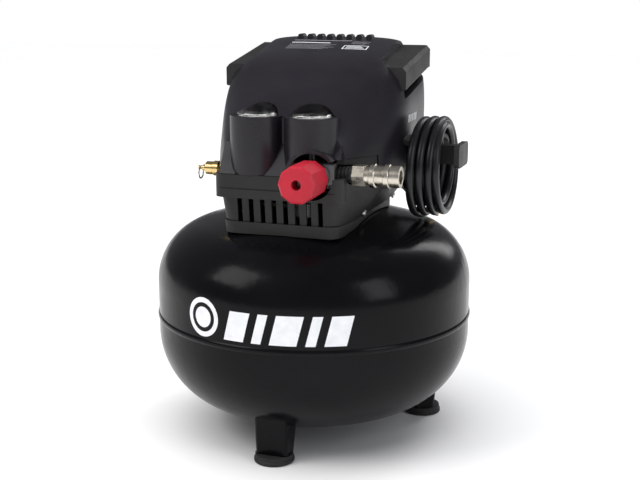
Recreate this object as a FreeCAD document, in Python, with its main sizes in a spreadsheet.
"""Pancake air compressor: a low round tank with a motor-driven pump under a two-piece shroud.

Frame: millimetres, +Z up, origin on the tank axis at floor level, front along -Y, coupler along +X.
"""
import FreeCAD, Part
import Sketcher
import math
import os

Vector = FreeCAD.Vector
X_AXIS = Vector(1, 0, 0)
Y_AXIS = Vector(0, 1, 0)
Z_AXIS = Vector(0, 0, 1)

doc = FreeCAD.newDocument("Compressor")
sheet = doc.addObject("Spreadsheet::Sheet", "Sizes")
NODES = []


# ---------------------------------------------------------------- sizes

class Size:
    """A length that keeps its number and the sheet expression that gives it."""

    def __init__(self, number, text):
        self.number = float(number)
        self.text = text

    def _join(self, other, sign, result):
        return Size(result, "(" + self.text + sign + size(other).text + ")")

    def __add__(self, other):
        return self._join(other, " + ", self.number + size(other).number)

    def __sub__(self, other):
        return self._join(other, " - ", self.number - size(other).number)

    def __mul__(self, other):
        return self._join(other, " * ", self.number * size(other).number)

    def __truediv__(self, other):
        return self._join(other, " / ", self.number / size(other).number)

    def __radd__(self, other):
        return size(other) + self

    def __rsub__(self, other):
        return size(other) - self

    def __rmul__(self, other):
        return size(other) * self

    def __neg__(self):
        return size(0) - self


def size(value):
    """The value as a Size: a plain number is its own expression."""
    if isinstance(value, Size):
        return value
    return Size(value, repr(float(value)))


def num(value):
    return size(value).number


def root(value):
    return Size(math.sqrt(value.number), "sqrt(" + value.text + ")")


def dimension(alias, value):
    """Write one driving dimension in the sheet and return it as a Size."""
    dimension.row += 1
    cell = "B%d" % dimension.row
    sheet.set("A%d" % dimension.row, alias)
    sheet.set(cell, str(value))
    sheet.setAlias(cell, alias)
    return Size(value, "Sizes." + alias)


dimension.row = 0

tank_radius = dimension("tank_radius", 152.5)
plate = dimension("tank_plate", 2.2)
seam = dimension("seam_height", 117.5)
upper_knuckle = dimension("upper_knuckle", 57)
upper_crown = dimension("upper_crown", 420)
upper_tangent = dimension("upper_tangent", 150)
lower_knuckle = dimension("lower_knuckle", 76)
lower_crown = dimension("lower_crown", 313)
lower_tangent = dimension("lower_tangent", 102)
foot_ring = dimension("foot_ring_radius", 113)
foot_radius = dimension("foot_radius", 18.8)
foot_height = dimension("foot_height", 7.5)
leg_width = dimension("leg_width", 31)
leg_steel = dimension("leg_steel", 3)
saddle_half = dimension("saddle_half_width", 50)
saddle_front = dimension("saddle_front", -56)
saddle_rear = dimension("saddle_rear", 76)
saddle_top = dimension("saddle_top", 230.5)
sheet_steel = dimension("sheet_steel", 3)
isolator_height = dimension("isolator_height", 10)
isolator_across = dimension("isolator_across", 40)
isolator_front = dimension("isolator_front", -36)
isolator_rear = dimension("isolator_rear", 66)
shaft_height = dimension("shaft_height", 281.5)
shaft_radius = dimension("shaft_radius", 6)
stator_half = dimension("stator_half", 37)
stator_front = dimension("stator_front", -26)
stator_length = dimension("stator_length", 40)
crank_throw = dimension("crank_throw", 5)
crank_y = dimension("crank_y", 52)
bore_radius = dimension("bore_radius", 25)
cylinder_foot = dimension("cylinder_foot", 312)
cylinder_length = dimension("cylinder_length", 26)
shroud_seam = dimension("shroud_seam", 264)
shroud_wall = dimension("shroud_wall", 2.6)
shroud_split = dimension("shroud_split", 72)
base_bottom = dimension("base_bottom", 209)
base_half = dimension("base_half_width", 60)
base_front = dimension("base_front", -101)
manifold_y = dimension("manifold_y", -81)
manifold_z = dimension("manifold_z", 266)
gauge_across = dimension("gauge_across", 26)
gauge_y = dimension("gauge_y", -80)
gauge_top = dimension("gauge_top", 317.4)
knob_x = dimension("knob_x", 33)
knob_z = dimension("knob_z", 264.5)
knob_radius = dimension("knob_radius", 17)
knob_back = dimension("knob_back", -106)
knob_length = dimension("knob_length", 36)
relief_y = dimension("relief_y", -35)
relief_z = dimension("relief_z", 257)
coupler_start = dimension("coupler_start", 66)
coupler_bore = dimension("coupler_bore", 6.1)
cord_radius = dimension("cord_radius", 3.8)
coil_inner = dimension("coil_inner", 31)
coil_outer = dimension("coil_outer", 47.5)
coil_start = dimension("coil_start", 97)
coil_depth = dimension("coil_depth", 31.5)
coil_height = dimension("coil_height", 261)
hanger_y = dimension("hanger_y", 22)
grip_front = dimension("grip_front", 0)
grip_rear = dimension("grip_rear", 92)

INLET_X = -46
INLET_Y = -68
OUTLET_X = 20
HEAD_BOLT_HOLES = [(x, y, 2.1) for x in (-23.5, 23.5) for y in (-23.5, 23.5)]
THROUGH_BOLT_HOLES = [(x, y, 2.1) for x in (-29, 29) for y in (-29, 29)]
SCREW_STATIONS = (-40, 60)
SCREW_HEIGHT = 224
SCREW_SEAT = 62
DOOR_REAR = -46
DOOR_TOP = 280
GRIP_RISE = 16.0
COIL_SKEW = 0.55
GLAND = Vector(66, 88, 236)
CORD_EXIT = Vector(0.62, -0.62, -0.48)
CORD_LEAD = [(71.0, 83.0, 232.2), (85.8, 68.2, 220.6), (95.5, 52, 212.5), (100.5, 35.5, 210.5), (101, 16, 215.5)]
CORD_TAIL = [(99, 52, 284.5), (99.5, 58.8, 270), (100.5, 67.8, 255.8), (101, 75.3, 242.8)]
DISCHARGE_ROUTE = [(-22, 52, 347), (-46, 52, 347), (-46, 52, 300), (-46, -68, 286), (-46, -68, 246)]
DISCHARGE_BENDS = [10, 22, 22]


# ---------------------------------------------------------------- helpers

def bind(thing, prop, value):
    """Bind a property to the sheet when its value depends on it, else set it."""
    if isinstance(value, Size):
        thing.setExpression(prop, value.text)
    else:
        setattr(thing, prop, value)


def turn(axis):
    """The rotation that takes local +Z to the given axis."""
    return FreeCAD.Rotation(Z_AXIS, axis)


def place(thing, x=0, y=0, z=0, rotation=None):
    """Give a sub-part its Placement, with its base bound to the sheet."""
    base = Vector(num(x), num(y), num(z))
    thing.Placement = FreeCAD.Placement(base, rotation or FreeCAD.Rotation())
    for letter, value in (("x", x), ("y", y), ("z", z)):
        if isinstance(value, Size):
            thing.setExpression("Placement.Base." + letter, value.text)
    return thing


def new_body(label):
    body = doc.addObject("PartDesign::Body", label)
    body.Label = label
    NODES.append(body)
    return body


def origin_plane(body, role):
    for feature in body.Origin.OriginFeatures:
        if feature.Role == role:
            return feature
    raise ValueError(role)


def new_sketch(body, role, lift=0):
    """An empty sketch on one of the body's own origin planes, lifted along its normal."""
    sketch = body.newObject("Sketcher::SketchObject", body.Name + "_sketch")
    sketch.AttachmentSupport = [(origin_plane(body, role), "")]
    sketch.MapMode = "FlatFace"
    if isinstance(lift, Size):
        sketch.setExpression("AttachmentOffset.Base.z", lift.text)
    sketch.AttachmentOffset = FreeCAD.Placement(Vector(0, 0, num(lift)), FreeCAD.Rotation())
    return sketch


def fix_point(sketch, piece, end, x, y):
    """Hold one end of a sketch line or arc at (x, y) from the sketch origin."""
    for kind, value in (("DistanceX", size(x)), ("DistanceY", size(y))):
        index = sketch.addConstraint(Sketcher.Constraint(kind, -1, 1, piece, end, value.number))
        if "Sizes" in value.text:
            sketch.setExpression("Constraints[%d]" % index, value.text)


def arc_between(start, finish, radius, side):
    """A short arc from start to finish. side 1 bulges to the left of the chord and -1 to the right."""
    chord = finish - start
    left = Vector(-chord.y, chord.x, 0).normalize()
    depth = math.sqrt(max(radius ** 2 - (chord.Length / 2) ** 2, 0))
    centre = (start + finish) * 0.5 - left * side * depth
    first, last = (finish, start) if side > 0 else (start, finish)
    begin = math.atan2(first.y - centre.y, first.x - centre.x)
    end = math.atan2(last.y - centre.y, last.x - centre.x)
    return Part.ArcOfCircle(Part.Circle(centre, Z_AXIS, radius), begin, end)


def outline(sketch, corners):
    """Close a loop through the corners. A corner (x, y) ends a line and (x, y, radius, side) an arc."""
    points = [Vector(num(corner[0]), num(corner[1]), 0) for corner in corners]
    pieces = []
    for index, corner in enumerate(corners):
        start = points[index - 1]
        finish = points[index]
        if len(corner) == 2:
            shape = Part.LineSegment(start, finish)
            pieces.append((sketch.addGeometry(shape, False), 2))
            continue
        arc = arc_between(start, finish, num(corner[2]), corner[3])
        pieces.append((sketch.addGeometry(arc, False), 1 if corner[3] > 0 else 2))
    for index, corner in enumerate(corners):
        piece, end = pieces[index]
        fix_point(sketch, piece, end, corner[0], corner[1])
        following, last = pieces[(index + 1) % len(pieces)]
        begin = 1 if last == 2 else 2
        sketch.addConstraint(Sketcher.Constraint("Coincident", piece, end, following, begin))
        if len(corner) == 4:
            radius = size(corner[2])
            fixed = sketch.addConstraint(Sketcher.Constraint("Radius", piece, radius.number))
            if "Sizes" in radius.text:
                sketch.setExpression("Constraints[%d]" % fixed, radius.text)


def circle(sketch, x, y, radius):
    shape = Part.Circle(Vector(num(x), num(y), 0), Z_AXIS, num(radius))
    piece = sketch.addGeometry(shape, False)
    fix_point(sketch, piece, 3, x, y)
    radius = size(radius)
    fixed = sketch.addConstraint(Sketcher.Constraint("Radius", piece, radius.number))
    if "Sizes" in radius.text:
        sketch.setExpression("Constraints[%d]" % fixed, radius.text)


def turned(label, profile):
    """A body turned about its own Z axis from a profile of (radius, height) corners."""
    body = new_body(label)
    sketch = new_sketch(body, "XZ_Plane")
    outline(sketch, profile)
    revolution = body.newObject("PartDesign::Revolution", label + "_turning")
    revolution.Profile = sketch
    revolution.ReferenceAxis = (sketch, ["V_Axis"])
    revolution.Angle = 360
    sketch.Visibility = False
    return body


def padded(body, height, corners=None, circles=(), lift=0, role="XY_Plane"):
    """Add a straight slab to the body from one outline or from circles."""
    sketch = new_sketch(body, role, lift)
    if corners:
        outline(sketch, corners)
    for x, y, radius in circles:
        circle(sketch, x, y, radius)
    pad = body.newObject("PartDesign::Pad", body.Name + "_pad")
    pad.Profile = sketch
    bind(pad, "Length", height)
    return pad


def pocketed(body, depth, corners=None, circles=(), lift=0, role="XY_Plane", reverse=False):
    """Cut a straight pocket into the body, and check that it took something away."""
    doc.recompute()
    before = body.Shape.Volume
    sketch = new_sketch(body, role, lift)
    if corners:
        outline(sketch, corners)
    for x, y, radius in circles:
        circle(sketch, x, y, radius)
    pocket = body.newObject("PartDesign::Pocket", body.Name + "_pocket")
    pocket.Profile = sketch
    bind(pocket, "Length", depth)
    pocket.Reversed = reverse
    doc.recompute()
    if body.Shape.Volume > before - 0.5:
        raise ValueError("pocket cut nothing in " + body.Label)
    return pocket


def rectangle(x0, y0, x1, y1):
    return [(x0, y0), (x1, y0), (x1, y1), (x0, y1)]


def polygon(sides, across_flats, x=0, y=0, phase=0.0):
    """Corners of a regular polygon by its distance across flats."""
    corner = across_flats / 2 / math.cos(math.pi / sides)
    step = 2 * math.pi / sides
    return [(x + corner * math.cos(phase + step * i), y + corner * math.sin(phase + step * i))
            for i in range(sides)]


def patterned(body, feature, count):
    """Repeat a feature round the body's Z axis."""
    pattern = body.newObject("PartDesign::PolarPattern", body.Name + "_pattern")
    pattern.Originals = [feature]
    pattern.Axis = (feature.Profile[0], ["N_Axis"])
    pattern.Angle = 360
    pattern.Occurrences = count
    body.Tip = pattern
    return pattern


def shaped(label, shape, placement=None):
    """A sub-part whose form is worked out from the sheet's sizes by Part's own functions."""
    feature = doc.addObject("Part::Feature", label)
    feature.Label = label
    feature.Shape = shape
    if placement:
        feature.Placement = placement
    NODES.append(feature)
    return feature


def pierced(label, form, tool):
    """A turned form with holes cut through it, as one sub-part."""
    doc.recompute()
    NODES.remove(form)
    return shaped(label, form.Shape.cut(tool))


def grouped(label, masters, placements):
    """One sub-part made of separate equal solids: each master's shape at each of its placements."""
    doc.recompute()
    copies = []
    for master in masters:
        NODES.remove(master)
        for placement in placements[master.Label]:
            solid = master.Shape.copy()
            solid.Placement = placement
            copies.append(solid)
    return shaped(label, Part.makeCompound(copies))


def block(x0, x1, y0, y1, z0, z1):
    x0, x1, y0, y1, z0, z1 = [num(value) for value in (x0, x1, y0, y1, z0, z1)]
    return Part.makeBox(x1 - x0, y1 - y0, z1 - z0, Vector(x0, y0, z0))


def rod(radius, start, finish):
    """A solid cylinder between two points."""
    start = Vector(*[num(value) for value in start])
    finish = Vector(*[num(value) for value in finish])
    return Part.makeCylinder(num(radius), (finish - start).Length, start, finish - start)


def fused(shapes):
    return shapes[0].multiFuse(shapes[1:]).removeSplitter()


def softened(shape, radius, wanted):
    """Round the edges that the test picks, one group at a time."""
    edges = [edge for edge in shape.Edges if wanted(edge)]
    return shape.makeFillet(radius, edges)


def is_upright(edge):
    if len(edge.Vertexes) != 2:
        return False
    direction = edge.Vertexes[1].Point - edge.Vertexes[0].Point
    return direction.Length > 1 and abs(direction.z) > 0.95 * direction.Length


def bent_path(points, bends):
    """Straight runs joined by tangent arcs. bends gives each inner point's radius, or None for
    0.45 of its shorter run divided by the tangent of half its turn."""
    edges = []
    radii = []
    cursor = points[0]
    for index in range(1, len(points) - 1):
        back = points[index - 1] - points[index]
        ahead = points[index + 1] - points[index]
        half_turn = (math.pi - back.getAngle(ahead)) / 2
        radius = bends[index - 1]
        if radius is None:
            radius = 0.45 * min(back.Length, ahead.Length) / math.tan(half_turn)
        setback = radius * math.tan(half_turn)
        begin = points[index] + back.normalize() * setback
        finish = points[index] + ahead.normalize() * setback
        bisector = (back + ahead).normalize()
        middle = points[index] + bisector * (radius / math.cos(half_turn) - radius)
        edges.append(Part.makeLine(cursor, begin))
        edges.append(Part.Arc(begin, middle, finish).toShape())
        cursor = finish
        radii.append(round(radius, 1))
    edges.append(Part.makeLine(cursor, points[-1]))
    return Part.Wire(edges), radii


def tube(label, route, radius, bends=None, bore=None):
    """A round tube along a bent path, with an open bore when one is given."""
    points = [Vector(*[num(value) for value in point]) for point in route]
    path, radii = bent_path(points, bends or [None] * (len(points) - 2))
    heading = points[1] - points[0]

    def sweep(section_radius):
        ring = Part.Wire(Part.makeCircle(section_radius, points[0], heading))
        return path.makePipeShell([ring], True, False)

    solid = sweep(num(radius))
    if bore:
        solid = solid.cut(sweep(num(bore)))
    section = math.pi * (num(radius) ** 2 - (num(bore) ** 2 if bore else 0))
    print(label, "radii", radii, "length", round(path.Length, 1),
          "volume ratio", round(solid.Volume / (section * path.Length), 4))
    return solid


# ---------------------------------------------------------------- tank and legs


def head_ratio(crown, knuckle):
    """Sine of the angle where the crown arc meets the knuckle arc."""
    return (tank_radius - knuckle) / (crown - knuckle)


def head_arcs(tangent, crown, knuckle, direction, inset):
    """Corners of one head from the axis to the straight side, inset by a wall."""
    ratio = head_ratio(crown, knuckle)
    cosine = root(1 - ratio * ratio)
    centre = tangent + direction * (knuckle - crown) * cosine
    crown_end = centre + direction * (crown - inset)
    join_radius = (crown - inset) * ratio
    join_height = centre + direction * ((crown - inset) * cosine)
    return crown_end, join_radius, join_height


def tank_outside():
    """The filled outer form of the tank, used to trim what is welded to it."""
    profile = []
    for direction, tangent, crown, knuckle in ((-1, lower_tangent, lower_crown, lower_knuckle),
                                               (1, upper_tangent, upper_crown, upper_knuckle)):
        end, join_r, join_z = head_arcs(tangent, crown, knuckle, direction, 0)
        profile.append((end.number, join_r.number, join_z.number, tangent.number, crown.number,
                        knuckle.number, direction))
    radius = tank_radius.number
    low, high = profile

    def head_edges(row):
        end, join_r, join_z, tangent, crown, knuckle, direction = row
        half = math.asin(join_r / crown) / 2
        centre = end - direction * crown
        top = Vector(crown * math.sin(half), 0, centre + direction * crown * math.cos(half))
        pole = Vector(0, 0, end)
        join = Vector(join_r, 0, join_z)
        turn_angle = (math.asin(join_r / crown) + math.pi / 2) / 2
        elbow = Vector(radius - knuckle + knuckle * math.sin(turn_angle), 0,
                       tangent + direction * knuckle * math.cos(turn_angle))
        side = Vector(radius, 0, tangent)
        return [Part.Arc(pole, top, join).toShape(), Part.Arc(join, elbow, side).toShape()], pole, side

    low_edges, low_pole, low_side = head_edges(low)
    high_edges, high_pole, high_side = head_edges(high)
    edges = low_edges + [Part.makeLine(low_side, high_side)] + high_edges + [Part.makeLine(high_pole, low_pole)]
    face = Part.Face(Part.Wire(Part.__sortEdges__(edges)))
    return face.revolve(Vector(0, 0, 0), Z_AXIS, 360)


TANK_SOLID = tank_outside()


def tank_height_at(x, y):
    """Height of the tank's upper surface over a point."""
    reach = math.hypot(num(x), num(y))
    knuckle = upper_knuckle.number
    crown = upper_crown.number
    ratio = head_ratio(upper_crown, upper_knuckle).number
    flat = tank_radius.number - knuckle
    if reach > crown * ratio:
        return upper_tangent.number + math.sqrt(knuckle ** 2 - (reach - flat) ** 2)
    centre = upper_tangent.number - (crown - knuckle) * math.sqrt(1 - ratio ** 2)
    return centre + math.sqrt(crown ** 2 - reach ** 2)


def make_tank():
    gap = 1.2
    lap = 8
    slack = 0.05
    bead = 3
    bead_arc = 4.2
    crown, join_r, join_z = head_arcs(upper_tangent, upper_crown, upper_knuckle, 1, size(0))
    crown_in, join_r_in, join_z_in = head_arcs(upper_tangent, upper_crown, upper_knuckle, 1, plate)
    form = turned("upper_head", [
        (0, crown), (join_r, join_z, upper_crown, 1), (tank_radius, upper_tangent, upper_knuckle, 1),
        (tank_radius, seam + gap), (tank_radius - plate, seam + gap),
        (tank_radius - plate, upper_tangent),
        (join_r_in, join_z_in, upper_knuckle - plate, -1), (0, crown_in, upper_crown - plate, -1)])
    ports = [rod(radius, (x, y, 190), (x, y, 230)) for x, y, radius in
             ((INLET_X, INLET_Y, 5), (OUTLET_X, manifold_y, 7))]
    pierced("tank_upper_shell", form, Part.makeCompound(ports))
    crown, join_r, join_z = head_arcs(lower_tangent, lower_crown, lower_knuckle, -1, size(0))
    crown_in, join_r_in, join_z_in = head_arcs(lower_tangent, lower_crown, lower_knuckle, -1, plate)
    tongue = tank_radius - plate - slack
    form = turned("lower_head", [
        (0, crown), (join_r, join_z, lower_crown, -1), (tank_radius, lower_tangent, lower_knuckle, -1),
        (tank_radius, seam - bead), (tank_radius + slack, seam + bead, bead_arc, -1),
        (tank_radius + slack, seam + gap), (tongue, seam + gap), (tongue, seam + lap),
        (tongue - plate, seam + lap), (tongue - plate, seam - lap / 2),
        (tank_radius - plate, seam - lap - 2), (tank_radius - plate, lower_tangent),
        (join_r_in, join_z_in, lower_knuckle - plate, 1), (0, crown_in, lower_crown - plate, 1)])
    start, outward = drain_axis()
    pierced("tank_lower_shell", form, Part.makeCylinder(5, 20, start - outward * 10, outward))


def make_bungs():
    """Three threaded steel sockets welded into the tank: pump inlet, air outlet and drain."""
    sockets = []
    for x, y, radius, top in ((INLET_X, INLET_Y, 8, 224), (OUTLET_X, manifold_y, 10, 226)):
        wall = rod(radius, (x, y, tank_height_at(x, y) - 4), (x, y, top))
        bore = rod(radius - 3, (x, y, tank_height_at(x, y) - 20), (x, y, top + 1))
        sockets.append(wall.cut(TANK_SOLID).cut(bore))
    start, outward = drain_axis()
    wall = Part.makeCylinder(9, 11, start - outward * 5, outward)
    bore = Part.makeCylinder(5, 60, start - outward * 30, outward)
    sockets.append(wall.cut(TANK_SOLID).cut(bore))
    shaped("tank_bungs", Part.makeCompound(sockets))


def drain_axis():
    """Where the drain leaves the lower rear shoulder, and the way it points: 45 degrees down."""
    slope = math.radians(45)
    outward = Vector(0, math.cos(slope), -math.sin(slope))
    reach = tank_radius.number - lower_knuckle.number
    start = Vector(0, reach, lower_tangent.number) + outward * lower_knuckle.number
    return start, outward


def leg_shape():
    """A bent steel channel with a flat outward face, a foot plate and a taper inward."""
    half = num(leg_width) / 2
    steel = num(leg_steel)
    reach = num(foot_ring)
    low = num(foot_height)
    side = [(reach + 9, low), (reach + 14, low + 48), (reach - 24, low + 48), (reach - 9, low)]

    def prism(profile, spread):
        points = [Vector(r, -spread, z) for r, z in profile]
        face = Part.Face(Part.makePolygon(points + points[:1]))
        return face.extrude(Vector(0, 2 * spread, 0))

    blank = prism(side, half)
    blank = softened(blank, 4, lambda edge: is_upright(edge) and edge.CenterOfMass.x > reach)
    inner = [(reach + 9 - steel, low + steel), (reach + 14 - steel, low + 50), (reach - 40, low + 50),
             (reach - 40, low + steel)]
    hole = rod(3.2, (reach, 0, low - 1), (reach, 0, low + steel + 1))
    return blank.cut(prism(inner, half - steel)).cut(hole).cut(TANK_SOLID)


def make_legs():
    """Three welded legs with rubber feet, one at the front and two at the back."""
    leg = leg_shape()
    legs = []
    screws = []
    pads = []
    nut_seat = num(foot_height) + num(leg_steel)
    for angle in (-90, 30, 150):
        spin = FreeCAD.Rotation(Z_AXIS, angle)
        spun = leg.copy()
        spun.Placement = FreeCAD.Placement(Vector(0, 0, 0), spin)
        legs.append(spun)
        spot = spin.multVec(Vector(foot_ring.number, 0, 0))
        pads.append(FreeCAD.Placement(spot, spin))
        shank = rod(3, (spot.x, spot.y, 1), (spot.x, spot.y, nut_seat + 4))
        nut = rod(5.2, (spot.x, spot.y, nut_seat), (spot.x, spot.y, nut_seat + 4))
        screws.append(fused([shank, nut]))
    shaped("tank_legs", Part.makeCompound(legs))
    pad = turned("foot_pad", [
        (3.2, 0.8), (7, 0.8), (7, 0), (foot_radius - 1, 0), (foot_radius, 1),
        (foot_radius, 3.4), (foot_radius - 1, 4.6), (foot_radius - 1.2, foot_height), (3.2, foot_height)])
    grouped("foot_pads", [pad], {"foot_pad": pads})
    return screws


def make_drain():
    """A drain cock on the lower rear shoulder."""
    start, outward = drain_axis()
    seat = start + outward * 6
    fitting = turned("drain_fitting", [
        (1.5, -9), (4.9, -9), (4.9, 0), (8, 0), (8, 6), (5, 6), (5, 9), (1.5, 9)])
    place(fitting, seat.x, seat.y, seat.z, turn(outward))
    knob = new_body("drain_knob")
    padded(knob, 8, circles=[(0, 0, 8.5)])
    wing = padded(knob, 8, corners=rectangle(7, -2, 11.5, 2))
    doc.recompute()
    patterned(knob, wing, 2)
    pocketed(knob, 3, circles=[(0, 0, 5.2)], reverse=True)
    place(knob, *(seat + outward * 6.4), turn(outward))


# ---------------------------------------------------------------- pump and motor


def make_mounting(foot_screws):
    floor = saddle_top.number - sheet_steel.number
    steel = sheet_steel.number
    half = saddle_half.number
    front = saddle_front.number
    rear = saddle_rear.number
    shell = block(-half, half, front, rear, 190, saddle_top)
    hollow = block(-half + steel, half - steel, front - 1, rear + 1, 180, floor)
    saddle = softened(shell, 5, lambda edge: abs(edge.BoundBox.ZMin - saddle_top.number) < 0.01
                      and edge.BoundBox.YLength > 50)
    saddle = saddle.cut(hollow).cut(TANK_SOLID)
    spots = [(x, y) for x in (-num(isolator_across), num(isolator_across))
             for y in (num(isolator_front), num(isolator_rear))]
    for x, y in spots:
        saddle = saddle.cut(rod(3.3, (x, y, 200), (x, y, 240)))
    for y in SCREW_STATIONS:
        saddle = saddle.cut(rod(2.05, (-half - 1, y, SCREW_HEIGHT), (half + 1, y, SCREW_HEIGHT)))
    shaped("tank_saddle", saddle.common(base_form(num(shroud_wall) + 0.6)))
    top = saddle_top.number + isolator_height.number
    pads = []
    bolts = []
    for x, y in spots:
        pad = Part.makeCone(10, 8, num(isolator_height) / 2, Vector(x, y, saddle_top.number))
        upper = Part.makeCone(8, 10, num(isolator_height) / 2,
                              Vector(x, y, saddle_top.number + num(isolator_height) / 2))
        pads.append(fused([pad, upper]).cut(rod(3.3, (x, y, 225), (x, y, 250))))
        shank = rod(3, (x, y, floor - 3), (x, y, top + steel + 2))
        nut = rod(5, (x, y, floor - 3), (x, y, floor))
        head = rod(5.5, (x, y, top + steel), (x, y, top + steel + 4))
        bolts.append(fused([shank, nut, head]))
    shaped("isolators", Part.makeCompound(pads))
    shaped("mounting_bolts", Part.makeCompound(bolts + foot_screws))
    body = new_body("motor_plate")
    padded(body, sheet_steel, corners=rectangle(-saddle_half, isolator_front - 10, saddle_half, isolator_rear + 10),
           lift=0)
    holes = [(x, y, 3.3) for x in (-isolator_across, isolator_across) for y in (isolator_front, isolator_rear)]
    pocketed(body, sheet_steel, circles=holes, reverse=True)
    place(body, 0, 0, saddle_top + isolator_height)


def along_y(thing, y, x=0, z=None):
    """Stand a turned body's axis along +Y at the motor shaft, or at another place."""
    return place(thing, x, y, shaft_height if z is None else z, FreeCAD.Rotation(X_AXIS, -90))


def shaft_station(y, backward=False):
    """The placement of a turned piece on the motor shaft, facing back or forward."""
    spin = FreeCAD.Rotation(X_AXIS, 90 if backward else -90)
    return FreeCAD.Placement(Vector(0, y, shaft_height.number), spin)


def make_motor():
    stator = new_body("stator_core")
    half = stator_half
    padded(stator, stator_length, corners=[
        (half - 8, -half), (half, -half + 8), (half, half - 8), (half - 8, half),
        (-half + 8, half), (-half, half - 8), (-half, -half + 8), (-half + 8, -half)])
    pocketed(stator, stator_length, circles=[(0, 0, 20.5)], reverse=True)
    slot = pocketed(stator, stator_length, corners=rectangle(19, -2.5, 29, 2.5), reverse=True)
    patterned(stator, slot, 12)
    pocketed(stator, stator_length, circles=THROUGH_BOLT_HOLES, reverse=True)
    along_y(stator, stator_front)
    coil = turned("winding_end", [(21, 0), (31, 0), (33, 3), (33, 6), (30, 8.5), (24, 8.5), (21, 6.5)])
    front_end = shaft_station(stator_front.number, backward=True)
    rear_end = shaft_station(stator_front.number + stator_length.number)
    grouped("stator_windings", [coil], {"winding_end": [front_end, rear_end]})
    rotor = turned("rotor_core", [
        (shaft_radius, 0), (20, 0), (20, stator_length), (15, stator_length), (15, stator_length + 4),
        (10, stator_length + 4), (10, stator_length), (shaft_radius, stator_length)])
    along_y(rotor, stator_front)
    shaft = turned("motor_shaft", [(0, 0), (shaft_radius - 1, 0), (shaft_radius, 1), (shaft_radius, 95), (0, 95)])
    along_y(shaft, -54)
    bracket = new_body("front_bracket")
    padded(bracket, 4, corners=[(-34, -37), (34, -37), (37, -34), (37, 30), (30, 37),
                                (-30, 37), (-37, 30), (-37, -34)])
    padded(bracket, 10, circles=[(0, 0, 16)])
    pocketed(bracket, 10, circles=[(0, 0, 12.05)], reverse=True)
    vent = pocketed(bracket, 4, circles=[(24, 0, 4.5)], reverse=True)
    patterned(bracket, vent, 8)
    pocketed(bracket, 4, circles=THROUGH_BOLT_HOLES, reverse=True)
    along_y(bracket, -43)
    bearing = turned("bearing", [(shaft_radius + 0.03, 0), (12, 0), (12, 7), (shaft_radius + 0.03, 7)])
    grouped("motor_bearings", [bearing], {"bearing": [shaft_station(-42), shaft_station(29)]})
    bolts = []
    for x in (-29, 29):
        for z in (-29, 29):
            centre = (x, shaft_height.number + z)
            shank = rod(2, (centre[0], -47, centre[1]), (centre[0], 30, centre[1]))
            head = rod(4, (centre[0], -47, centre[1]), (centre[0], -43, centre[1]))
            bolts.append(fused([shank, head]))
    fan = turned("cooling_fan", [(shaft_radius, 0), (13, 0), (13, 7), (shaft_radius, 7)])
    blade = padded(fan, 7, corners=[(11, -3), (34, 4), (34, 6.2), (11, -0.8)])
    doc.recompute()
    patterned(fan, blade, 7)
    along_y(fan, -53)
    return bolts


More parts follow.
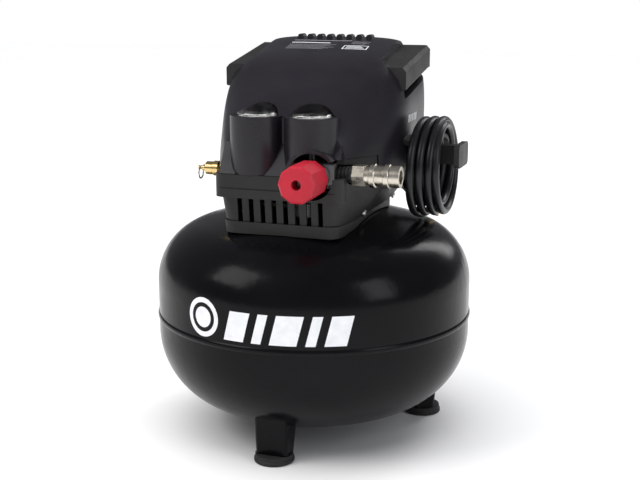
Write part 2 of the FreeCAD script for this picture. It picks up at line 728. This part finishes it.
def make_pump(through_bolts):
    shaft_z = shaft_height.number
    throw = crank_throw.number
    middle = crank_y.number
    bore = bore_radius.number
    foot = cylinder_foot.number
    front = 28
    rear = 70
    foot_z = saddle_top.number + isolator_height.number + sheet_steel.number
    drum = rod(30, (0, front, shaft_z), (0, rear, shaft_z))
    flange = block(-34, 34, front, front + 5, shaft_z - 34, shaft_z + 34)
    feet = block(-26, 26, front, rear, foot_z, shaft_z)
    deck = block(-28, 28, middle - 28, middle + 28, foot - 10, foot)
    case = fused([drum, flange, feet, deck])
    case = case.cut(rod(27, (0, front + 9, shaft_z), (0, rear + 5, shaft_z)))
    case = case.cut(rod(bore, (0, middle, shaft_z), (0, middle, foot + 1)))
    case = case.cut(rod(31, (0, rear, shaft_z), (0, rear + 4, shaft_z)))
    case = case.cut(rod(12.03, (0, front, shaft_z), (0, front + 8, shaft_z)))
    case = case.cut(rod(8, (0, front, shaft_z), (0, front + 10, shaft_z)))
    for x, z, radius in THROUGH_BOLT_HOLES:
        case = case.cut(rod(radius, (x, front - 5, shaft_z + z), (x, front + 6, shaft_z + z)))
    for x, y, radius in HEAD_BOLT_HOLES:
        case = case.cut(rod(radius + 0.1, (x, middle + y, foot - 14), (x, middle + y, foot + 6)))
    case = case.cut(rod(bore + 6.4, (0, middle, foot), (0, middle, foot + 10)))
    shaped("crankcase", case)
    cover = turned("crankcase_cover", [(0, 0), (30, 0), (30, 2), (28, 3), (0, 3)])
    along_y(cover, rear)
    disc = rod(12, (0, 38.5, shaft_z), (0, 45, shaft_z))
    weight = rod(24, (0, 38.5, shaft_z), (0, 45, shaft_z))
    weight = weight.common(block(-30, 30, 30, 60, shaft_z - 30, shaft_z - 3))
    pin = rod(5, (0, 45, shaft_z + throw), (0, 59, shaft_z + throw))
    socket = rod(shaft_radius, (0, 38, shaft_z), (0, 41, shaft_z))
    shaped("crank_disc", fused([disc, weight, pin]).cut(socket))
    crank = (0, middle, shaft_z + throw)
    big_end = rod(10.5, (0, middle - 5, crank[2]), (0, middle + 5, crank[2]))
    shank = block(-4, 4, middle - 3.5, middle + 3.5, crank[2] + 6, crank[2] + 46)
    piston = rod(19.5, (0, middle, crank[2] + 43), (0, middle, crank[2] + 50))
    small = Part.makeCone(5, 15, 6, Vector(0, middle, crank[2] + 37))
    eye = rod(5.02, (0, middle - 6, crank[2]), (0, middle + 6, crank[2]))
    shaped("connecting_rod", fused([big_end, shank, small, piston]).cut(eye))
    fins = [(bore_radius, 0), (bore_radius + 4, 0), (bore_radius + 4, 3)]
    for row in range(4):
        low = 4.5 + row * 5
        fins += [(bore_radius + 2.5, low), (bore_radius + 6, low), (bore_radius + 6, low + 2),
                 (bore_radius + 2.5, low + 2)]
    fins += [(bore_radius + 2.5, cylinder_length - 3), (bore_radius + 4, cylinder_length - 3),
             (bore_radius + 4, cylinder_length), (bore_radius, cylinder_length)]
    place(turned("cylinder", fins), 0, crank_y, cylinder_foot)
    top = cylinder_foot + cylinder_length
    plate_body = new_body("valve_plate")
    half = 27
    padded(plate_body, 3, corners=rectangle(-half, -half, half, half))
    pocketed(plate_body, 3, circles=[(-9, 0, 4), (9, 0, 4)], reverse=True)
    pocketed(plate_body, 3, circles=HEAD_BOLT_HOLES, reverse=True)
    place(plate_body, 0, crank_y, top)
    head = new_body("cylinder_head")
    padded(head, 13, corners=rectangle(-half, -half, half, half))
    for low in (-14, -8, 6, 12, 18):
        pocketed(head, 7, corners=rectangle(-half - 1, low, half + 1, low + 2), lift=6, reverse=True)
    pocketed(head, 13, circles=HEAD_BOLT_HOLES, reverse=True)
    pocketed(head, 5, corners=rectangle(-18, -12, -2, 12), reverse=True)
    pocketed(head, 5, corners=rectangle(2, -12, 18, 12), reverse=True)
    pocketed(head, half, circles=[(0, 6, 3.5)], role="YZ_Plane", reverse=True)
    pocketed(head, half, circles=[(0, 6, 3.5)], role="YZ_Plane", reverse=False)
    place(head, 0, crank_y, top + 3)
    bolts = []
    for x in (-23.5, 23.5):
        for y in (-23.5, 23.5):
            spot = (x, middle + y)
            shank = rod(2, (*spot, foot - 8), (*spot, top.number + 16))
            cap = rod(3.8, (*spot, top.number + 16), (*spot, top.number + 19))
            bolts.append(fused([shank, cap]))
    shaped("pump_bolts", Part.makeCompound(bolts + through_bolts))


def make_air_lines():
    port = cylinder_foot.number + cylinder_length.number + 9
    filter_body = turned("intake_filter", [
        (0, 0), (3.4, 0), (3.4, 10), (11, 10), (13, 12), (13, 22), (11, 24), (0, 24)])
    place(filter_body, 22, crank_y, port, turn(X_AXIS))
    line = tube("discharge_tube", DISCHARGE_ROUTE, 3.4, bends=DISCHARGE_BENDS, bore=2.4)
    shaped("discharge_tube", line)
    valve = turned("check_valve", [(2, -6), (4.9, -6), (4.9, 0), (7.5, 0), (7.5, 14), (5.5, 16),
                                   (5.5, 22), (3.45, 22), (3.45, 17), (2, 17)])
    place(valve, -46, -68, 224)


# ---------------------------------------------------------------- controls on the front


def make_manifold():
    half_y = 9
    half_z = 10
    y = manifold_y.number
    z = manifold_z.number
    bar = block(-42, 50, y - half_y, y + half_y, z - half_z, z + half_z)
    bar = softened(bar, 2, lambda edge: edge.BoundBox.XLength > 50)
    bar = bar.cut(rod(4, (-36, y, z), (51, y, z)))
    for x in (-num(gauge_across), num(gauge_across)):
        bar = bar.cut(rod(4.55, (x, num(gauge_y), z), (x, num(gauge_y), z + 12)))
    bar = bar.cut(rod(5.05, (20, y, z - 12), (20, y, z)))
    bar = bar.cut(rod(8.05, (num(knob_x), y - 12, num(knob_z)), (num(knob_x), y - 4, num(knob_z))))
    bar = bar.cut(rod(5.05, (50.1, y, z), (42, y, z)))
    bar = bar.cut(rod(4.05, (-34, y + 12, z - 6), (-34, y, z - 6)))
    shaped("manifold", bar)
    riser = turned("manifold_riser", [(3, -8), (6.9, -8), (6.9, 0), (9, 0), (9, 12), (5, 12), (5, 36), (3, 36)])
    place(riser, 20, manifold_y, 226)
    link = tube("safety_pipe", [(-34, y + 5, z - 6), (-34, y + 22, z - 6), (-52, relief_y, relief_z),
                                (-78, relief_y, relief_z)], 4, bends=[8, 10], bore=2.6)
    shaped("safety_pipe", link)
    body = turned("regulator_body", [(0, 0), (8, 0), (8, 6), (13, 6), (13, 16), (9, 18), (9, 20),
                                     (3.9, 20), (3.9, 42), (0, 42)])
    place(body, knob_x, manifold_y - 5, knob_z, FreeCAD.Rotation(X_AXIS, 90))
    knob = new_body("regulator_knob")
    flats = polygon(10, 2 * num(knob_radius) * math.cos(math.pi / 10))
    padded(knob, knob_length, corners=[(x, y) for x, y in flats])
    doc.recompute()
    prism = knob.Tip
    face = ["Edge%d" % (index + 1) for index, edge in enumerate(prism.Shape.Edges)
            if abs(edge.CenterOfMass.z - num(knob_length)) < 0.01]
    chamfer = knob.newObject("PartDesign::Chamfer", "knob_chamfer")
    chamfer.Base = (prism, face)
    chamfer.Size = 1.8
    pocketed(knob, 18, circles=[(0, 0, 4.5)], lift=knob_length, reverse=False)
    pocketed(knob, 12, circles=[(0, 0, 13.5)], reverse=True)
    pocketed(knob, knob_length, circles=[(0, 0, 3.95)], reverse=True)
    place(knob, knob_x, knob_back, knob_z, FreeCAD.Rotation(X_AXIS, 90))


def make_gauges():
    """Tank gauge on the left and outlet gauge on the right, both facing up."""
    floor = num(gauge_top) - 22
    seats = {}
    for side, sign in (("tank", -1), ("outlet", 1)):
        seats[side] = Vector(sign * num(gauge_across), num(gauge_y), floor)
        needle = new_body(side + "_gauge_needle")
        padded(needle, 0.8, corners=[(-0.9, -5.5), (0.9, -5.5), (0.35, 14.5), (-0.35, 14.5)], lift=1)
        padded(needle, 1.6, circles=[(0, 0, 2.2)], lift=1)
        padded(needle, 6, circles=[(0, 0, 0.9)], lift=-4)
        place(needle, sign * gauge_across, gauge_y, floor + 19.2, FreeCAD.Rotation(Z_AXIS, 135))

    def at_both(height):
        return [FreeCAD.Placement(seat + Vector(0, 0, height), FreeCAD.Rotation()) for seat in seats.values()]

    case = turned("gauge_case", [
        (0, -28), (4.5, -28), (4.5, -12), (6.5, -12), (6.5, -3), (12, 0), (19.5, 3), (19.5, 19.1),
        (20.4, 19.1), (20.4, 20.6), (18.4, 20.6), (18.4, 4.5), (0, 4.5)])
    grouped("gauge_cases", [case], {"gauge_case": at_both(0)})
    dial = turned("gauge_dial", [(1.3, 0), (18.2, 0), (18.2, 0.8), (1.3, 0.8)])
    grouped("gauge_dials", [dial], {"gauge_dial": at_both(18.9)})
    lens = turned("gauge_lens", [(17.4, 0), (18.2, 0), (18.2, 2.8), (17.4, 3.6), (0, 4.2), (0, 3.4), (17, 2.8),
                                 (17.4, 2.4)])
    grouped("gauge_lenses", [lens], {"gauge_lens": at_both(19.8)})


def make_relief_valve():
    away = turn(-X_AXIS)
    body = turned("relief_valve_body", [
        (2.2, 0), (4.4, 0), (4.4, 6), (7.3, 6), (7.3, 11), (6.4, 12), (6.4, 19), (5.2, 20), (2.2, 20)])
    place(body, -78, relief_y, relief_z, away)
    stem = rod(1.9, (-86, num(relief_y), num(relief_z)), (-106, num(relief_y), num(relief_z)))
    collar = rod(3, (-99, num(relief_y), num(relief_z)), (-101, num(relief_y), num(relief_z)))
    eye = rod(1.3, (-104, num(relief_y) - 4, num(relief_z)), (-104, num(relief_y) + 4, num(relief_z)))
    shaped("relief_valve_stem", fused([stem, collar]).cut(eye))
    torus = Part.makeTorus(5.2, 0.8, Vector(-104, num(relief_y), num(relief_z) - 5.2), X_AXIS)
    shaped("relief_valve_ring", torus)


def make_coupler():
    y = manifold_y.number
    z = manifold_z.number
    ribs = [(2.6, -8), (5, -8), (5, 0), (7.6, 0)]
    for rib in range(4):
        low = 1.5 + rib * 3.4
        ribs += [(7.6, low), (6.6, low), (6.6, low + 1.4), (7.6, low + 1.4)]
    ribs += [(7.6, 15.6), (5.6, 15.6), (5.6, 24), (2.6, 24)]
    adapter = turned("coupler_adapter", ribs)
    place(adapter, 50, manifold_y, manifold_z, turn(X_AXIS))
    core = new_body("coupler_body")
    padded(core, 11, corners=polygon(6, 17.5, phase=math.pi / 6))
    padded(core, 42, circles=[(0, 0, 8.5)])
    padded(core, 9, circles=[(0, 0, 9.6)], lift=33.6)
    pocketed(core, 30, circles=[(0, 0, coupler_bore)], lift=42.6, reverse=False)
    pocketed(core, 10, circles=[(0, 0, 5.65)], reverse=True)
    pocketed(core, 20, circles=[(0, 0, 3)], reverse=True)
    place(core, coupler_start, manifold_y, manifold_z, turn(X_AXIS))
    sleeve = turned("coupler_sleeve", [
        (8.56, 0), (10.3, 0), (10.8, 0.5), (10.8, 4.5), (10.3, 5), (8.9 + 0.4, 5.4), (8.9 + 0.4, 12.6), (10.3, 13),
        (10.8, 13.5), (10.8, 17.5), (10.3, 18), (8.56, 18)])
    place(sleeve, coupler_start + 15.4, manifold_y, manifold_z, turn(X_AXIS))


# ---------------------------------------------------------------- shroud

# Each slice of the shroud: y, half width, crown height, squareness of its shoulders.
LOAF = [
    (-84, 60, 314, 2.8), (-74, 66, 322, 2.8), (-60, 73, 331, 2.9), (-40, 81, 342, 3.4),
    (-20, 88, 352.5, 4.3), (0, 92, 361.5, 5.4), (30, 93, 370.5, 5.8), (56, 93, 376.5, 6),
    (74, 92, 378.5, 6), (88, 88, 376, 5), (99, 80, 366, 4), (107, 66, 348, 3)]


def loaf(inset):
    """The shroud's crowned form: upright slices with rounded shoulders, wide at the bottom."""
    floor = num(shroud_seam)
    steps = 16
    wires = []
    for index, (y, half, crown, squareness) in enumerate(LOAF):
        if index == 0:
            y += inset
        if index == len(LOAF) - 1:
            y -= inset
        half = half - inset
        rise = crown - inset - floor
        points = []
        for step in range(steps + 1):
            angle = math.pi * step / steps
            across = math.copysign(abs(math.cos(angle)) ** (2 / squareness), math.cos(angle))
            up = abs(math.sin(angle)) ** (2 / squareness)
            lean = 1 - 0.04 * up
            points.append(Vector(half * across * lean, y, floor + rise * up))
        curve = Part.BSplineCurve()
        curve.interpolate(points)
        wires.append(Part.Wire([curve.toShape(), Part.makeLine(points[-1], points[0])]))
    return Part.makeLoft(wires, True, False)


def rounded_loop(corners, radii, z):
    """A closed wire through the corners with every corner rounded."""
    points = [Vector(x, y, z) for x, y in corners]
    edges = []
    previous = None
    first = None
    for index, corner in enumerate(points):
        back = (points[index - 1] - corner)
        ahead = (points[(index + 1) % len(points)] - corner)
        half_turn = (math.pi - back.getAngle(ahead)) / 2
        setback = radii[index] * math.tan(half_turn)
        begin = corner + back.normalize() * setback
        finish = corner + ahead.normalize() * setback
        bisector = (back + ahead).normalize()
        middle = corner + bisector * (radii[index] / math.cos(half_turn) - radii[index])
        if previous:
            edges.append(Part.makeLine(previous, begin))
        else:
            first = begin
        edges.append(Part.Arc(begin, middle, finish).toShape())
        previous = finish
    edges.append(Part.makeLine(previous, first))
    return Part.Wire(edges)


def base_outline(z, front, half_front, half_wide, wide_y, rear, inset):
    """The tray's six-cornered outline at one height: narrow front, widest behind the controls."""
    right = [(half_front - inset, front + inset), (half_wide - inset, wide_y), (half_wide - inset, rear - inset)]
    left = [(-x, y) for x, y in reversed(right)]
    front_corner = 12 - inset
    rear_corner = 26 - inset
    side_corner = 30
    radii = [front_corner, side_corner, rear_corner, rear_corner, side_corner, front_corner]
    return rounded_loop(right + left, radii, z)


def base_form(inset):
    """The tray's outer form, or the space inside it when inset by the wall."""
    low = num(base_bottom)
    waist = low + 11
    seam_z = num(shroud_seam)
    front = num(base_front)
    half = num(base_half)
    over = 1 if inset else 0
    bottom = base_outline(low - over, front + 4.5, 54, half, -58, 82, inset)
    step = base_outline(waist, front + 4, 55, half, -58, 82, inset)
    above = base_outline(waist, front + 5.5, 53.5, half, -58, 82, inset)
    rim = base_outline(seam_z + over, front + 1, 57, 92, -14, 106, inset)
    return Part.makeLoft([bottom, step], True, True).fuse(Part.makeLoft([above, rim], True, True))


def make_base():
    """The flared tray round the machine: vented front, proud belt, and lugs that sit on the saddle."""
    wall = num(shroud_wall)
    low = num(base_bottom)
    floor = num(shroud_seam)
    front = num(base_front)
    belt_half = 61
    belt = block(-belt_half, belt_half, front - 3, front + 14, floor - 21, floor)
    belt = softened(belt, 10, lambda edge: is_upright(edge) and edge.CenterOfMass.y < front)
    belt = belt.cut(block(-70, 70, front - 4, front - 2.2, floor - 13, floor - 11.6))
    door = loaf(1.2).cut(loaf(1.2 + wall))
    door = door.common(block(50, 110, -97, DOOR_REAR - 0.4, floor - 4, DOOR_TOP - 0.4))
    shell = fused([base_form(0), belt]).cut(base_form(wall))
    slot_pitch = 11
    slot_half = 2.3
    slots = []
    for index in range(8):
        x = (index - 3.5) * slot_pitch + 1
        slots.append(block(x - slot_half, x + slot_half, front - 2, front + 14, low + 10.8, floor - 22.4))
    shell = shell.cut(Part.makeCompound(slots))
    lugs = []
    for side in (-1, 1):
        for y in SCREW_STATIONS:
            inner, outer = sorted((side * num(saddle_half), side * (num(base_half) + 12)))
            lugs.append(block(inner, outer, y - 7, y + 7, SCREW_HEIGHT - 6, SCREW_HEIGHT + 6).common(base_form(0.5)))
    shell = fused([shell, door] + lugs)
    shell = shell.cut(rod(20, (knob_x, front - 10, knob_z), (knob_x, front + 16, knob_z)))
    shell = shell.cut(rod(8.9, (46, manifold_y, manifold_z), (80, manifold_y, manifold_z)))
    shell = shell.cut(relief_boss(0.4))
    shell = shell.cut(rod(8.2, (-60, relief_y, relief_z), (-110, relief_y, relief_z)))
    direction = CORD_EXIT.normalize()
    shell = shell.cut(Part.makeCylinder(6.2, 30, GLAND - direction * 12, direction))
    shell = shell.cut(Part.makeCylinder(8.7, 20, GLAND + direction * 3.8, direction))
    for side in (-1, 1):
        for y in SCREW_STATIONS:
            inside = side * (num(saddle_half) - 2)
            seat = side * SCREW_SEAT
            shell = shell.cut(rod(2.1, (inside, y, SCREW_HEIGHT), (seat, y, SCREW_HEIGHT)))
            shell = shell.cut(rod(4.3, (seat, y, SCREW_HEIGHT), (seat + side * 12, y, SCREW_HEIGHT)))
    clearance = TANK_SOLID.copy()
    clearance.translate(Vector(0, 0, 0.8))
    shaped("shroud_base", biggest(shell.cut(clearance)))


def relief_boss(grow):
    """The flared collar round the safety valve on the left flank."""
    return Part.makeCone(8.5 + grow, 15 + grow, 9, Vector(-93 - grow, num(relief_y), num(relief_z)), X_AXIS)


def at_gauges():
    """The two gauges' axes."""
    return [(side * num(gauge_across), num(gauge_y)) for side in (-1, 1)]


def pod_shapes():
    """The two upright barrels that hold the gauges."""
    return [rod(25, (x, y, shroud_seam), (x, y, 316)) for x, y in at_gauges()]


def skirt(inset):
    """The sloped apron under the gauge pods."""
    floor = num(shroud_seam)
    front = num(base_front)
    drop = 1 if inset else 0
    corners = [(-78, 291 - inset), (-84.5 + inset, 291 - inset), (front + inset, floor - drop), (-78, floor - drop)]
    points = [Vector(-56 + inset, y, z) for y, z in corners]
    return Part.Face(Part.makePolygon(points + points[:1])).extrude(Vector(2 * (56 - inset), 0, 0))


def hood_hollow(wall):
    """The space inside the hood, clear of the grips' hand spaces."""
    hollow = loaf(wall)
    dropped = hollow.copy()
    dropped.translate(Vector(0, 0, -0.5))
    hollow = hollow.fuse(dropped)
    for side in (-1, 1):
        hollow = hollow.cut(grip_pocket(side, wall))
    return hollow


def ridge_teeth():
    """The row of rounded ridges across the top, just ahead of the split line."""
    half_width = 3
    crest = 381.5
    teeth = []
    for index in range(8):
        x = (index - 3.5) * 10.2
        tooth = block(x - half_width, x + half_width, shroud_split - 10, shroud_split, 366, crest)
        teeth.append(softened(tooth, 2.7, lambda edge: edge.CenterOfMass.z > crest - 0.5
                              and edge.BoundBox.YLength > 5))
    return teeth


def make_hood():
    """The hood and its rear cover, cut from one crowned shell at the split line."""
    wall = num(shroud_wall)
    floor = num(shroud_seam)
    split = num(shroud_split)
    hollow = hood_hollow(wall)
    arch = rod(25, (knob_x, -104, knob_z), (knob_x, -80, knob_z)).cut(block(-60, 90, -110, -70, 200, floor))
    form = loaf(0)
    whole = fused([form, skirt(0), arch])
    whole = whole.cut(hollow).cut(skirt(wall))
    collar = relief_boss(0).cut(block(-120, -60, -80, 10, 200, floor)).cut(hollow)
    recesses = [Part.makeSphere(23, Vector(x, y, 311)).common(form) for x, y in at_gauges()]
    whole = whole.multiFuse([collar] + pod_shapes() + recesses + ridge_teeth())
    for x, y in at_gauges():
        whole = whole.cut(rod(22.5, (x, y, floor - 1), (x, y, 290)))
        whole = whole.cut(rod(21, (x, y, 280), (x, y, 316.4)))
        whole = whole.cut(Part.makeSphere(20.5, Vector(x, y, 311)))
    whole = whole.cut(block(-43, 51, manifold_y - 10, manifold_y + 10, floor - 2, manifold_z + 11))
    whole = whole.cut(tube("discharge clearance", DISCHARGE_ROUTE, 4.4, bends=DISCHARGE_BENDS))
    whole = whole.cut(rod(22, (knob_x, -120, knob_z), (knob_x, -70, knob_z)))
    whole = whole.cut(block(50, 110, -120, DOOR_REAR, floor - 1, DOOR_TOP))
    whole = whole.cut(rod(8.9, (46, manifold_y, manifold_z), (80, manifold_y, manifold_z)))
    whole = whole.cut(rod(7.6, (-60, relief_y, relief_z), (-110, relief_y, relief_z)))
    for side in (-1, 1):
        whole = whole.cut(grip_pocket(side, 0))
    whole = whole.cut(block(-130, 130, -140, 140, 200, floor + 0.2))
    front = whole.common(block(-130, 130, -130, split, 200, 400))
    rear = whole.common(block(-130, 130, split + 0.3, 130, 200, 400))
    return front, rear


def slanted(outline_front, rise, front, rear):
    """A solid between an upright outline and the same outline raised at a station further back."""
    wires = []
    for lift, y in ((0, front), (rise, rear)):
        points = [Vector(x, y, z + lift) for x, z in outline_front]
        wires.append(Part.makePolygon(points + points[:1]))
    return Part.makeLoft(wires, True, True)


def grip_pocket(side, grow):
    """The hand space behind the grip's lip, open to the front."""
    corners = [(64 - grow, 330 - grow), (110, 322 - grow), (110, 372), (64 - grow, 372)]
    mirrored = [(side * x, z) for x, z in corners]
    return slanted(mirrored, GRIP_RISE, num(grip_front) + 4 - grow, num(grip_rear) - 4 + grow)


def grip_shape(side):
    """A carrying grip: a flat bar on the shroud's shoulder with a lip turned down outside."""
    profile = [(58.5, 351), (64, 342.5), (84, 342.5), (84, 333.5), (90.5, 333.5), (90.5, 351),
               (87, 354.8), (62, 354.8)]
    mirrored = [(side * x, z) for x, z in profile]
    bar = slanted(mirrored, GRIP_RISE, num(grip_front), num(grip_rear))
    bar = softened(bar, 1.6, lambda edge: edge.BoundBox.YLength > 60 and abs(edge.CenterOfMass.x) > 84.5)
    stop = block(*sorted((side * 66, side * 90.5)), grip_rear - 6, grip_rear, 349.5, 364)
    return fused([bar, stop])


def make_shroud():
    front, rear = make_hood()
    make_base()
    for label, side in (("right_grip", 1), ("left_grip", -1)):
        grip = grip_shape(side)
        front = front.cut(grip)
        rear = rear.cut(grip)
        shaped(label, grip)
    louvres = [block(-34, 34, 98, 120, 284 + row * 7, 287.4 + row * 7) for row in range(7)]
    rear = rear.cut(Part.makeCompound(louvres))
    rear = rear.cut(block(-52, -22, 90, 120, 268, 281))
    shaped("shroud_hood", biggest(front))
    shaped("rear_cover", biggest(rear))


def biggest(shape):
    """The main solid, without crumbs that the cuts leave."""
    return max(shape.Solids, key=lambda solid: solid.Volume)


# ---------------------------------------------------------------- switch, cord and fasteners

def make_switch():
    """The pressure switch box at the back, with its rocker through the rear cover."""
    box = new_body("pressure_switch")
    padded(box, 32, corners=rectangle(-16, -11, 16, 9))
    padded(box, 22, corners=rectangle(-14, 9, 14, 13), lift=2)
    pocketed(box, 5, corners=rectangle(-11, 7, 11, 19), role="XZ_Plane", lift=-13.2, reverse=True)
    place(box, -37, 91, 262)
    rocker = new_body("switch_rocker")
    padded(rocker, 20, corners=[(-2.5, -4.2), (5.2, -4.2), (2.4, 0.4), (1, 4.2), (-2.5, 4.2)], lift=-10, role="YZ_Plane")
    place(rocker, -37, 104, 275)


def coil_centre(x):
    """The coil hangs askew: its rings step back as they go outward."""
    return num(hanger_y) + (x - num(coil_start) - num(coil_depth) / 2) * COIL_SKEW


def skewed_ring(outer, inner, start, finish):
    """A ring about the X direction whose far end is shifted along Y."""
    walls = []
    for radius in (outer, inner):
        ends = [Part.Wire(Part.makeCircle(radius, Vector(x, coil_centre(x), num(coil_height)), X_AXIS))
                for x in (start, finish)]
        walls.append(Part.makeLoft(ends, True, True))
    return walls[0].cut(walls[1])


def make_hanger():
    """The bracket that carries the coiled cord, fixed to the right flank of the shroud."""
    height = num(coil_height)
    y = num(hanger_y)
    seat = skewed_ring(30.6, 27, 84, 122)
    seat = seat.common(block(80, 130, y - 26, y + 26, height + 14, height + 40))
    web = block(84, 122, y - 2.5, y + 2.5, height + 4, height + 28)
    arm = block(84, 137, y - 6, y + 6, height + 3, height + 21)
    flange = block(137, 142, y - 20, y + 20, height + 1, height + 23)
    flange = softened(flange, 5, lambda edge: edge.BoundBox.XLength > 4)
    hanger = fused([seat, web, arm, flange]).cut(loaf(0)).cut(base_form(0))
    shaped("cord_hanger", biggest(hanger))


def make_cord():
    """The mains cord: sleeve, lead to the hung coil, coil, tail, and the plug on its end."""
    direction = CORD_EXIT.normalize()
    sleeve = turned("cord_strain_relief", [
        (cord_radius, -10), (6.1, -10), (6.1, 4), (8.5, 4), (8.5, 7), (7, 8), (5.2, 32), (cord_radius, 32)])
    place(sleeve, GLAND.x, GLAND.y, GLAND.z, turn(direction))
    shaped("cord_lead", tube("cord_lead", CORD_LEAD, cord_radius))
    coil_end = num(coil_start) + num(coil_depth)
    shaped("cord_coil", skewed_ring(num(coil_outer), num(coil_inner), num(coil_start), coil_end))
    shaped("cord_tail", tube("cord_tail", CORD_TAIL, cord_radius))
    tip = Vector(*CORD_TAIL[-1])
    heading = (tip - Vector(*CORD_TAIL[-2])).normalize()
    plug = turned("plug_body", [(0, 0), (5, 0), (6.5, 6), (9, 12), (13, 15), (13, 26), (12, 28), (0, 28)])
    place(plug, tip.x, tip.y, tip.z, turn(heading))
    blades = new_body("plug_blades")
    padded(blades, 16, corners=rectangle(-7.1, -3.2, -5.6, 3.2))
    padded(blades, 16, corners=rectangle(5.6, -3.2, 7.1, 3.2))
    padded(blades, 18, circles=[(0, 7, 2.4)])
    foot = tip + heading * 28
    place(blades, foot.x, foot.y, foot.z, turn(heading))


def make_screws():
    """Cross-head screws that hold the base's lugs to the saddle."""
    screws = []
    for side in (-1, 1):
        for y in SCREW_STATIONS:
            seat = side * SCREW_SEAT
            shank = rod(2, (seat, y, SCREW_HEIGHT), (seat - side * 17, y, SCREW_HEIGHT))
            head = rod(4, (seat + side * 2.2, y, SCREW_HEIGHT), (seat, y, SCREW_HEIGHT))
            screws.append(fused([shank, head]))
    shaped("shroud_screws", Part.makeCompound(screws))


def check_and_write():
    """Stop at any failed sub-part, then write each one's shape to its own file."""
    doc.recompute()
    for thing in doc.Objects:
        if "Invalid" in thing.State or "Error" in thing.State:
            raise ValueError("failed: " + thing.Label)
    for node in NODES:
        if node.Shape.isNull() or not node.Shape.isValid():
            raise ValueError("bad shape: " + node.Label)
    os.makedirs("parts", exist_ok=True)
    for node in NODES:
        node.Shape.exportStep("parts/%s.step" % node.Label)
    print(len(NODES), "sub-parts written")


def main():
    make_tank()
    make_bungs()
    foot_screws = make_legs()
    make_drain()
    make_mounting(foot_screws)
    through_bolts = make_motor()
    make_pump(through_bolts)
    make_air_lines()
    make_manifold()
    make_gauges()
    make_relief_valve()
    make_coupler()
    make_shroud()
    make_hanger()
    make_switch()
    make_cord()
    make_screws()
    check_and_write()


main()
